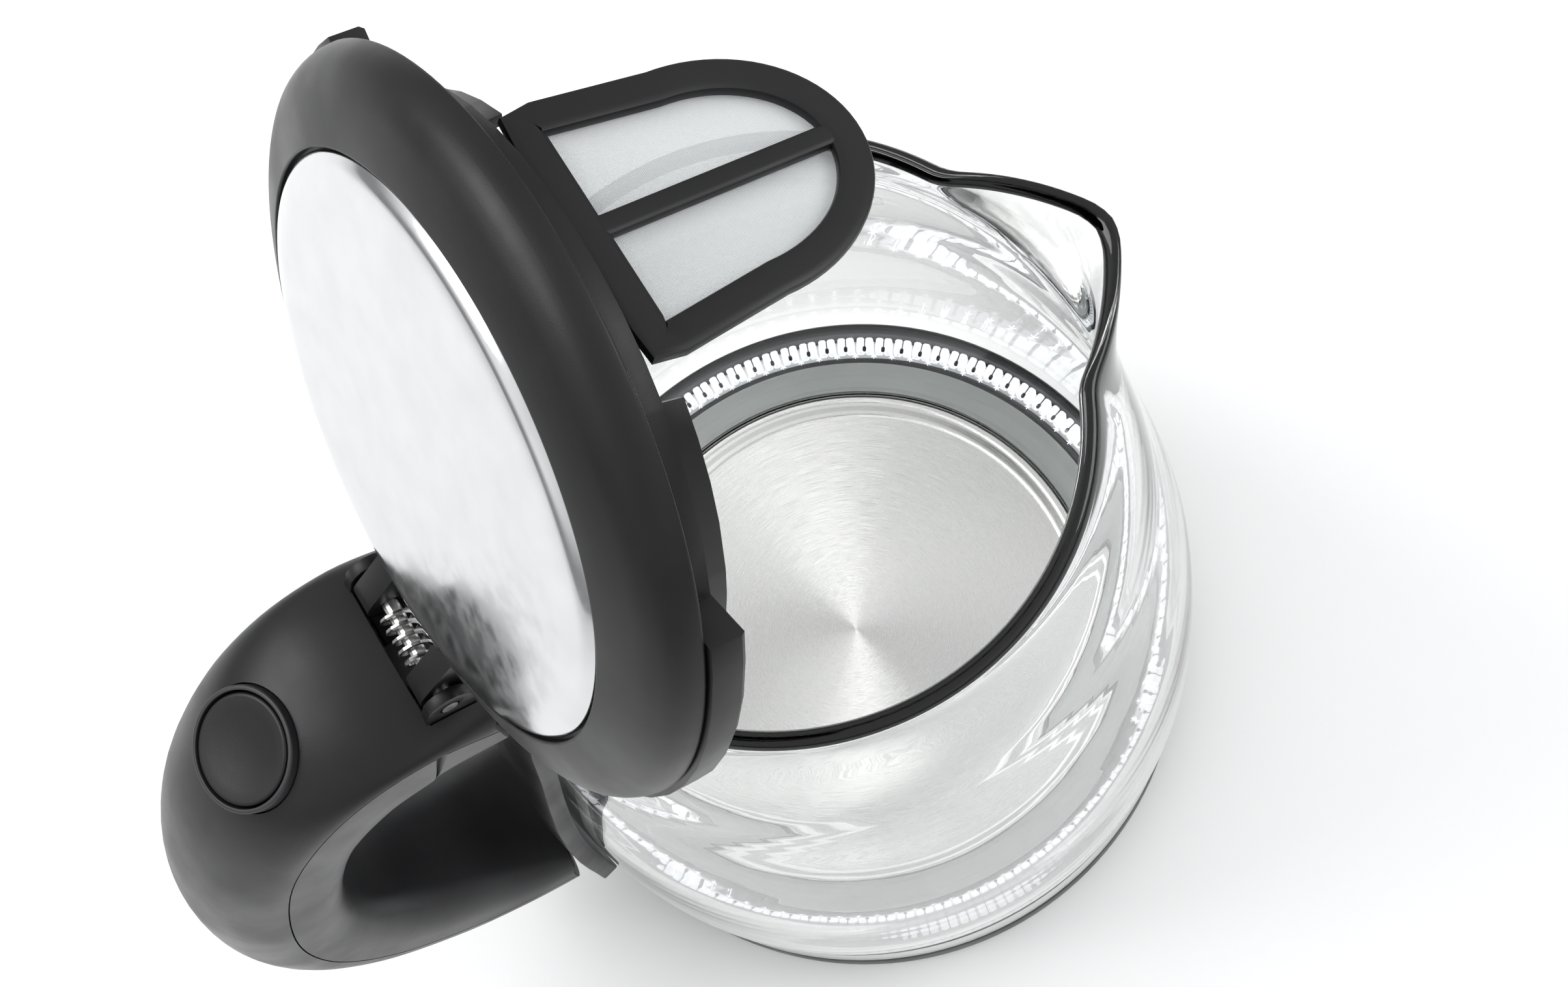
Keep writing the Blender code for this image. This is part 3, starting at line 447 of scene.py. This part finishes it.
# %% Turn the base pieces
settle("base_shell", spun(soften([
    (14.3, 12.5), (74.0, 12.5, 6.0), (80.0, 11.6, 3.2), (80.0, 1.8, 0.3), (77.8, 1.8), (77.8, 8.4, 1.5),
    (75.0, 10.3), (14.3, 10.3)])), BLACK, "power_base", ("power_base_top",))
settle("steel_band", spun(soften([
    (79.1, 13.7), (80.0, 13.7, 0.5), (80.0, 30.0, 0.5), (79.1, 30.0)])), POLISHED, "jug",
    ("base_trim",))
settle("seal_ring", spun(soften([
    (78.0, 21.8), (78.8, 21.8), (78.8, 30.3), (80.3, 30.3, 0.4), (80.3, 33.4, 0.5), (79.5, 34.4, 0.5),
    (79.0, 34.2, 0.2), (78.0, 30.4, 0.3)])), BLACK, "jug", ("base_seal_ring",))
settle("boiling_plate", spun(soften([
    (0.0, 29.2), (56.4, 29.2, 0.6), (58.4, 31.4, 0.5), (59.2, 31.4, 0.2), (59.2, 25.5), (60.0, 25.5),
    (60.0, 32.4, 0.5), (58.0, 32.3, 0.8), (56.0, 30.0, 1.0), (0.0, 30.0)], False), False), PLATE_STEEL,
    "jug", ("heating_plate",))
settle("plate_seal", spun(soften([
    (60.4, 29.7), (69.0, 29.7, 0.3), (69.0, 31.2, 0.5), (66.0, 31.2, 0.4), (65.4, 30.7, 0.4),
    (62.6, 30.7, 0.4), (62.0, 31.2, 0.4), (60.4, 31.2, 0.3)])), SILICONE, "jug",
    ("plate_gasket",))
settle("carrier_ring", spun(soften([
    (62.0, 15.8), (69.5, 15.8), (69.5, 29.4, 0.5), (62.0, 29.4, 0.5)])), BLACK, "jug",
    ("base_carrier",))

# %% [markdown]
# ## The light ring
# Under the edge of the glass lies a ring of clear plastic with small lamps below it. It is cast
# as 96 cells. Each cell has two cut blocks with a thin slot between them, and a dark
# drop-shaped well where the lamp's light is let in. One cell is made, then repeated round Z. The
# crystal carries a painted glow in place of the lamps' light, a small crossed star between each two
# cells is a painted glint, and a dark ring below their inner edge is painted shade.

# %% Cut the cells
CELLS = 96
BLOCK_MIDDLE = 75.3
PITCH = math.tau / CELLS


def block_mm(bm, centre, size, round_edge=0.0):
    made = bmesh.ops.create_cube(bm, size=1.0)
    bmesh.ops.scale(bm, verts=made["verts"], vec=size)
    bmesh.ops.translate(bm, verts=made["verts"], vec=centre)
    if round_edge:
        edges = list({e for v in made["verts"] for e in v.link_edges})
        bmesh.ops.bevel(bm, geom=edges, offset=round_edge, offset_type="OFFSET", affect="EDGES",
                        segments=1, profile=0.5, material=-1)
    return made


def cell_blocks():
    bm = bmesh.new()
    for side in (-1, 1):
        block_mm(bm, (BLOCK_MIDDLE, side * 1.12, 26.6), (4.5, 1.95, 4.2), 0.45)
    return ring_of(bm, CELLS)


def cell_wells():
    """Dark drops: a round bulb towards the middle and a stem running outward."""
    bm = bmesh.new()
    bulb = bmesh.ops.create_uvsphere(bm, u_segments=8, v_segments=5, radius=0.62)
    bmesh.ops.scale(bm, verts=bulb["verts"], vec=(1.5, 1.0, 0.5))
    bmesh.ops.translate(bm, verts=bulb["verts"], vec=(73.9, 0.0, 28.4))
    block_mm(bm, (75.8, 0.0, 28.3), (3.2, 0.22, 0.4))
    return ring_of(bm, CELLS)


def painted_glint_stars():
    """Painted glints: three thin bars crossed, set between two cells."""
    bm = bmesh.new()
    for turned_by in (0.0, math.pi / 3, -math.pi / 3):
        made = block_mm(bm, (0, 0, 0), (1.7, 0.22, 0.5))
        bmesh.ops.rotate(bm, verts=made["verts"], cent=(0, 0, 0),
                         matrix=Matrix.Rotation(turned_by, 3, "Z"))
    bmesh.ops.translate(bm, verts=bm.verts, vec=(72.3, 0.0, 26.9))
    bmesh.ops.rotate(bm, verts=bm.verts, cent=(0, 0, 0),
                     matrix=Matrix.Rotation(PITCH / 2, 3, "Z"))
    return ring_of(bm, CELLS)


# The cells take the crystal with the painted glow.
settle("light_ring_cells", cell_blocks(), CRYSTAL_WITH_PAINTED_GLOW, "jug", ("light_ring",),
       smooth=20.0)
settle("light_ring_wells", cell_wells(), GREY, "jug")
# Painted glints: a small glowing star between each two cells.
settle("light_ring_painted_glints", painted_glint_stars(), CRYSTAL_WITH_PAINTED_GLOW, "jug", smooth=20.0)
settle("light_ring_floor", spun(soften([
    (72.3, 21.8), (77.7, 21.8), (77.7, 24.2, 0.3), (72.3, 24.2, 0.3)])), WHITE, "jug")
# Painted shade: a dark ring fills the gap inside the light ring, where the white board would show.
settle("light_ring_painted_shade", spun(soften([
    (69.8, 22.0), (72.1, 22.0), (72.1, 25.6, 0.4), (69.8, 25.6, 0.4)])), GREY, "jug")

# %% [markdown]
# ## The glass jug
# A blown jug has an even wall that follows one flowing outline, a fire-polished rim, and a spout
# pulled out of the rim while it was soft. The outline is spun as if there were no spout, and then
# each point near the rim is pushed outward by its share, most at the front and at the top.

# %% Blow the jug and pull its spout
RIM_R = 59.3
RIM_Z = 206.0
WALL = 3.6
SPOUT_DEEP = 44.0
SPOUT_REACH = 15.2
SPOUT_HALF_TURN = 25.0


def curve_through(points, steps):
    """A smooth curve through tuples of numbers."""
    out = []
    for i in range(len(points) - 1):
        near = [points[max(min(i + d, len(points) - 1), 0)] for d in (-1, 0, 1, 2)]
        for s in range(steps):
            t = s / steps
            out.append(tuple(
                0.5 * (2 * b + (c - a) * t + (2 * a - 5 * b + 4 * c - d) * t ** 2
                       + (3 * b - a - 3 * c + d) * t ** 3)
                for a, b, c, d in zip(*near)))
    out.append(tuple(points[-1]))
    return out


def bow(cx, cz, rx, rz, start, end, steps):
    spots = [math.radians(start + (end - start) * i / steps) for i in range(steps + 1)]
    return [(cx + rx * math.cos(a), cz + rz * math.sin(a)) for a in spots]


def jug_outline():
    corner = bow(67.0, 46.0, 14.5, 14.5, -90, 0, 14)
    wall = curve_through([(81.5, 46.0), (81.6, 58.0), (80.2, 88.0), (77.0, 112.0), (72.6, 138.0),
                          (68.7, 165.0), (63.7, 186.0), (60.7, 200.0), (59.45, 204.6)], 5)
    rim = bow(RIM_R - WALL / 2, 204.6, WALL / 2, 1.6, 0, 180, 10)
    inside = [(r - WALL, z) for r, z in reversed(wall[:-1])]
    heel = bow(67.0, 46.0, 14.5 - WALL, 14.5 - WALL, 0, -90, 10)
    return [(60.5, 31.5), *corner, *wall[1:], *rim[1:], *inside[:-1], *heel, (60.5, 34.6)]


def soft_min(a, b, k):
    """The smaller of a and b, with a soft turn of width k between them."""
    h = min(max(0.5 + 0.5 * (b - a) / k, 0.0), 1.0)
    return b + (a - b) * h - k * h * (1.0 - h)


def spout_share(angle):
    """How far a direction belongs to the spout: 1 at the front, 0 past its edges."""
    off = abs(math.degrees(angle)) / SPOUT_HALF_TURN
    if off >= 1.2:
        return 0.0
    side = -soft_min(-1.08 * (1.0 - off), 0.0, 0.12)
    return max(soft_min(side, 1.0, 0.12), 0.0)


def pull_spout(bm):
    for v in bm.verts:
        rise = min(max((v.co.z - (RIM_Z - SPOUT_DEEP)) / SPOUT_DEEP, 0.0), 1.0)
        angle = math.atan2(v.co.y, v.co.x)
        push = SPOUT_REACH * spout_share(angle) * rise ** 1.7
        v.co += Vector((math.cos(angle), math.sin(angle), 0.0)) * push
    return bm


settle("blown_jug", pull_spout(spun(jug_outline(), steps=216)), GLASS, "jug", ("glass_jug",),
       smooth=60.0)

# %% [markdown]
# ## The lid
# The lid has a black shell, a pressed steel panel let into its top, and a lower shell that
# carries the filter. They are modelled with the lid closed, where they are simple round pieces,
# and turned open about the hinge before they are set down.

# %% Turn the lid's pieces
settle("lid_shell", spun(soften([
    (62.0, 212.8, 0.6), (61.6, 215.4, 2.0), (60.2, 217.8, 2.4), (57.4, 219.8, 2.8), (53.6, 221.4, 3.0),
    (48.6, 223.1, 0.5), (48.6, 221.4), (44.0, 221.4), (44.0, 219.8), (50.0, 219.6), (57.6, 216.9),
    (59.4, 212.8, 0.4)])), BLACK, "lid", ("lid_cover",), OPEN_LID)
settle("lid_plate", spun(soften([
    (47.2, 221.8), (48.0, 221.8), (48.0, 222.5, 0.5), (46.6, 223.9, 1.8), (43.2, 224.85, 2.6),
    (39.0, 225.0, 2.0), (0.0, 225.0),
    (0.0, 224.2), (41.8, 224.2), (47.0, 222.8)], False), False), PANEL_STEEL, "lid",
    ("lid_panel",), OPEN_LID)

# %% [markdown]
# ## The spout filter
# A D-shaped frame with a rib down its middle holds the gauze. The frame is a bar of rounded
# section, so one section is carried along the D and another down the rib.

# %% Carry a section along a path
def carried(name, path, section, mat, body, replaced=(), place=None, closed=False):
    """Skin a section (across, out) along path points (centre, across direction, out direction)."""
    bm = bmesh.new()
    loops = []
    for centre, across, out in path:
        ring = [bm.verts.new(centre + across * a + out * b) for a, b in section]
        loops.append([bm.edges.new((ring[i - 1], ring[i])) for i in range(len(ring))])
    joins = list(zip(loops, loops[1:]))
    if closed:
        joins.append((loops[-1], loops[0]))
    for first, second in joins:
        bmesh.ops.bridge_loops(bm, edges=first + second)
    if not closed:
        bmesh.ops.edgeloop_fill(bm, edges=loops[0])
        bmesh.ops.edgeloop_fill(bm, edges=loops[-1])
    return settle(name, bm, mat, body, replaced, place)


def rounded_bar(width, thick, power=0.45, steps=16):
    out = []
    for i in range(steps):
        a = math.tau * (i + 0.5) / steps
        c, s = math.cos(a), math.sin(a)
        out.append((width / 2 * math.copysign(abs(c) ** power, c),
                    thick / 2 * math.copysign(abs(s) ** power, s)))
    return out


FILTER_X = 49.3
FILTER_TOP = 206.2
FILTER_TALL = 48.5
FILTER_HALF = 22.5
HALF_BAR = 2.75


def d_path():
    """Centre line of the D: straight across the lid, then down one side and round the tip."""
    wide, narrow = FILTER_HALF - HALF_BAR, 20.0 - HALF_BAR
    middle = FILTER_TOP - FILTER_TALL + FILTER_HALF * 1.1
    drop = FILTER_HALF * 1.1 - HALF_BAR
    top = FILTER_TOP - HALF_BAR
    points = [(-wide + 2 * wide * i / 10, top) for i in range(11)]
    points += [(wide + (narrow - wide) * i / 8, top + (middle - top) * i / 8) for i in range(1, 8)]
    points += [(narrow * math.cos(a), middle - drop * math.sin(a))
               for a in (math.pi * i / 40 for i in range(41))]
    points += [(-narrow + (narrow - wide) * i / 8, middle + (top - middle) * i / 8)
               for i in range(1, 8)]
    path = []
    count = len(points)
    for i, (y, z) in enumerate(points):
        before, after = Vector(points[i - 1]), Vector(points[(i + 1) % count])
        along = (after - before).normalized()
        path.append((Vector((FILTER_X, y, z)), Vector((0, along.y, -along.x)), Vector((1, 0, 0))))
    return path


def rib_path():
    top, tip = FILTER_TOP - 2.0, FILTER_TOP - FILTER_TALL + 2.5
    heights = [top + (tip - top) * i / 10 for i in range(11)]
    return [(Vector((FILTER_X, 0, z)), Vector((0, 1, 0)), Vector((1, 0, 0))) for z in heights]


carried("filter_loop", d_path(), rounded_bar(5.5, 2.4), BLACK, "filter",
        ("filter_frame",), OPEN_LID, closed=True)
carried("filter_rib", rib_path(), rounded_bar(3.6, 2.2), BLACK, "filter", (),
        OPEN_LID)

# %% [markdown]
# ## The handle
# The handle is two shells that meet along a seam: a domed cover outside, and a fuller grip on the
# finger side. Both follow one seam curve, and each station on it gives the height of the cover,
# the depth of the grip and the half width, all in millimetres.

# %% Sweep the two shells
SEAM = [
    (-71.5, 205.0, 11.5, 16.5, 20.5), (-83.0, 211.8, 6.4, 25.0, 20.5), (-97.0, 211.0, 7.0, 27.0, 20.3),
    (-110.0, 202.0, 10.0, 24.0, 20.0), (-122.0, 184.0, 13.0, 19.0, 19.5),
    (-131.0, 158.0, 15.0, 15.5, 19.5), (-136.0, 130.0, 15.0, 14.0, 19.0),
    (-135.0, 105.0, 14.0, 15.0, 19.0), (-127.0, 82.0, 14.5, 16.0, 19.0),
    (-112.5, 64.0, 17.0, 15.0, 19.0), (-99.0, 55.0, 19.5, 11.5, 19.0), (-88.4, 50.5, 19.0, 9.0, 19.0)]


def seam_stations(steps=6):
    line = curve_through(SEAM, steps)
    out = []
    for i, (x, z, *sizes) in enumerate(line):
        before = Vector(line[max(i - 1, 0)][:2])
        after = Vector(line[min(i + 1, len(line) - 1)][:2])
        along = (after - before).normalized()
        normal = Vector((along.y, 0, -along.x))
        if i == 0:
            normal = Vector((0, 0, 1))
        if i == len(line) - 1:
            normal = Vector((0, 0, -1))
        out.append((Vector((x, 0, z)), normal, *sizes))
    return out


def channel(half, depth, power, wall=2.4, gap=0.15, steps=24):
    """A shell's section: out and back along the inside."""
    def dome(w, d):
        spots = [math.pi * i / steps for i in range(steps + 1)]
        return [(w * math.copysign(abs(math.cos(a)) ** power, math.cos(a)),
                 gap + (d - gap) * abs(math.sin(a)) ** power) for a in spots]
    return dome(half, depth) + list(reversed(dome(half - wall, depth - wall)))


def handle_shell(inward):
    """bmesh of the cover (outward) or the grip (inward), in mm."""
    bm = bmesh.new()
    loops = []
    for centre, normal, cover, grip, half in seam_stations():
        shape = channel(half, grip, 0.55) if inward else channel(half, cover, 1.0)
        out = -normal if inward else normal
        ring = [bm.verts.new(centre + out * n + Vector((0, y, 0))) for y, n in shape]
        loops.append([bm.edges.new((ring[i - 1], ring[i])) for i in range(len(ring))])
    for first, second in zip(loops, loops[1:]):
        bmesh.ops.bridge_loops(bm, edges=first + second)
    bmesh.ops.edgeloop_fill(bm, edges=loops[0])
    bmesh.ops.edgeloop_fill(bm, edges=loops[-1])
    return bm

# %% [markdown]
# ## Openings in the handle
# The cover has a round hole for the thumb button, a slot for the switch lever at its foot and a
# notch for the hinge fork at its top. Each is cut by a boolean with a plain block or cylinder,
# which gives true edges, and the cutters are then removed.

# %% Cut the cover and set both shells down
BUTTON_AT = (Matrix.Translation(Vector((-111.5, 0, 212.6)) * MM)
             @ Matrix.Rotation(math.radians(-27), 4, "Y"))


def tool(name, bm, place=None):
    """A cutting tool: a plain object that is removed after its cut."""
    mesh = mesh_from(name, bm, place)
    made = bpy.data.objects.new(name, mesh)
    bpy.context.scene.collection.objects.link(made)
    return made


def cut_with(piece, tools):
    """Cut the tools out of the piece and keep the result as its mesh."""
    for cutter in tools:
        mod = piece.modifiers.new(cutter.name, "BOOLEAN")
        mod.operation = "DIFFERENCE"
        mod.solver = "EXACT"
        mod.use_self = True
        mod.object = cutter
    seen = bpy.context.evaluated_depsgraph_get()
    mesh = bpy.data.meshes.new_from_object(piece.evaluated_get(seen))
    piece.modifiers.clear()
    piece.data = mesh
    for cutter in tools:
        bpy.data.objects.remove(cutter, do_unlink=True)
    print(piece.name, "cut:", len(mesh.polygons), "faces")


def box_tool(name, low, high):
    bm = bmesh.new()
    size = Vector(high) - Vector(low)
    block_mm(bm, (Vector(high) + Vector(low)) / 2, size)
    return tool(name, bm)


cover = settle("handle_top_shell", handle_shell(False), BLACK, "jug",
               ("handle_cover",))
hole = spun([(0.0, -12.0), (11.9, -12.0), (11.9, 14.0), (0.0, 14.0)], False, 64)
cut_with(cover, [
    tool("button_hole", hole, BUTTON_AT),
    box_tool("lever_slot", (-116, -7.6, 18), (-93, 7.6, 44)),
    box_tool("fork_notch", (-80.4, -15.7, 190), (-60, 15.7, 230))])
settle("handle_grip_shell", handle_shell(True), GREY, "jug", ("handle_grip",))

# %% [markdown]
# ## The thumb button
# Pressing it draws the latch back and the lid springs open. Its cap is slightly dished for the
# thumb and sits in a collar.

# %% Turn the button
settle("button_collar", spun(soften([
    (10.7, 0.9, 0.2), (10.7, -7.8), (3.6, -7.8), (3.6, -9.0), (11.6, -9.0), (11.6, 0.9, 0.5)]), steps=72),
    GREY, "jug", ("button_housing",), BUTTON_AT)
settle("thumb_button", spun(soften([
    (0.0, -11.4), (3.0, -11.4), (3.0, -3.6), (10.3, -3.6), (10.3, 0.9, 0.8), (6.0, 0.45, 1.5),
    (0.0, 0.0)], False), False, 72), BLACK, "button", ("lid_button",), BUTTON_AT)

# %% [markdown]
# ## Moulded pieces that keep their shape
# The lower shell of the lid, the spine, the fork, the latch and the small fittings already have
# the right shape. A copy of each is welded, its flat faces are joined up, and its sharp edges are
# given the small radius that every moulded or stamped edge has.

# %% Round the edges of the remaining pieces
def rounded_copy(node_name, mat, radius, sharp=28.0):
    bm = bmesh.new()
    bm.from_mesh(frame["nodes"][node_name].data)
    bmesh.ops.remove_doubles(bm, verts=bm.verts, dist=1e-6)
    bmesh.ops.dissolve_limit(bm, angle_limit=math.radians(0.6), verts=bm.verts, edges=bm.edges)
    edges = [e for e in bm.edges if len(e.link_faces) == 2
             and e.calc_face_angle(0.0) > math.radians(sharp)]
    bmesh.ops.bevel(bm, geom=edges, offset=radius * MM, offset_type="OFFSET", affect="EDGES",
                    segments=2, profile=0.5, material=-1, clamp_overlap=True)
    bmesh.ops.triangulate(bm, faces=[f for f in bm.faces if len(f.verts) > 4])
    bmesh.ops.scale(bm, verts=bm.verts, vec=(1 / MM, 1 / MM, 1 / MM))
    body = frame["nodes"][node_name]["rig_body"]
    return settle("fine_" + node_name, bm, mat, body, (node_name,))


for node_name, slot, radius in (
        ("lid_base", "grey_plastic", 0.35), ("filter_clip", "black_plastic", 0.4),
        ("handle_spine", "black_plastic", 0.5), ("hinge_bracket", "black_plastic", 0.4),
        ("latch_slider", "grey_plastic", 0.25), ("switch_lever", "grey_plastic", 0.4),
        ("lid_catch", "brushed_steel", 0.12), ("cord_gland", "grey_plastic", 0.3),
        ("base_cover", "black_plastic", 0.25), ("kettle_socket", "black_plastic", 0.25),
        ("power_base_bottom", "black_plastic", 0.25), ("base_connector", "black_plastic", 0.25)):
    finish = BLACK if node_name == "lid_base" else FINISHES[slot]
    rounded_copy(node_name, finish, radius)

# %% [markdown]
# ## Finishes for the pieces inside
# What is left, such as screws, springs, contacts and the heater, keeps its own mesh and gets the
# finish that its record names.

# %% Paint the inner pieces
PARTS = frame["record"]["subparts"]
for part in PARTS:
    piece = frame["nodes"][part["node"]]
    piece.data.materials.clear()
    piece.data.materials.append(FINISHES[part["material_slot"]])
print("painted", len(PARTS), "nodes")
